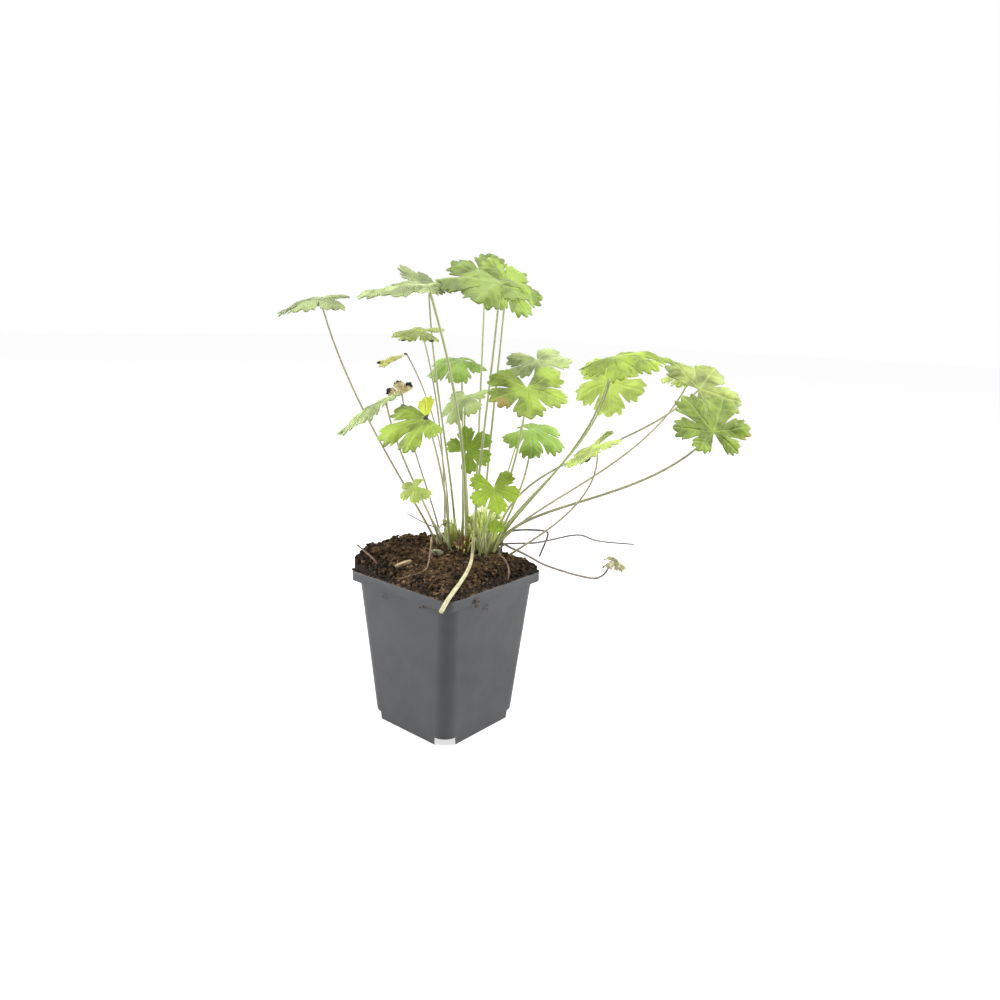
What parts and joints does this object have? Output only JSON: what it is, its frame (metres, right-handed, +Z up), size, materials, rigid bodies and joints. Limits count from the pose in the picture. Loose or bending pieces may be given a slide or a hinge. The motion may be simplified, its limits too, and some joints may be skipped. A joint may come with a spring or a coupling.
{
  "type": "potted hardy geranium plant",
  "caption": "Young hardy geranium (cranesbill) with palmate toothed leaves on long thin stalks, growing in a square dark nursery pot full of peaty soil.",
  "frame": {"origin": "centre of the pot's underside, on the surface the pot stands on", "axes": "+Z up; X and Y square to the pot's walls; the plant's front faces between +X and -Y, over a corner of the pot"},
  "size_m": [0.2543, 0.232, 0.3036],
  "materials": {
    "pot": "matte",
    "soil": "matte",
    "crown": "matte",
    "leaf": "satin",
    "withered_leaf": "matte",
    "dead_stem": "matte",
    "root": "matte",
    "wood_chip": "matte",
    "moss": "matte"
  },
  "bodies": {
    "root": {"nursery_pot": "pot", "potting_soil": "soil", "crown": "crown", "leaf_01": "leaf", "leaf_02": "leaf", "leaf_03": "leaf", "leaf_04": "leaf", "leaf_05": "leaf", "leaf_06": "leaf", "leaf_07": "leaf", "leaf_08": "leaf", "leaf_09": "leaf", "leaf_10": "leaf", "leaf_11": "leaf", "leaf_12": "leaf", "leaf_13": "leaf", "leaf_14": "leaf", "leaf_15": "leaf", "leaf_16": "leaf", "leaf_17": "leaf", "leaf_18": "leaf", "leaf_19": "leaf", "leaf_20": "leaf", "leaf_21": "leaf", "leaf_22": "leaf", "leaf_23": "leaf", "young_leaf": "leaf", "withered_leaf_1": "withered_leaf", "withered_leaf_2": "withered_leaf", "fallen_leaf": "withered_leaf", "cut_stem": "dead_stem", "bent_twig": "dead_stem", "long_twig": "dead_stem", "left_twig": "dead_stem", "thin_twig": "dead_stem", "pale_root": "root", "bowed_root": "root", "wood_chip": "wood_chip", "moss_tuft": "moss"}
  },
  "joints": []
}
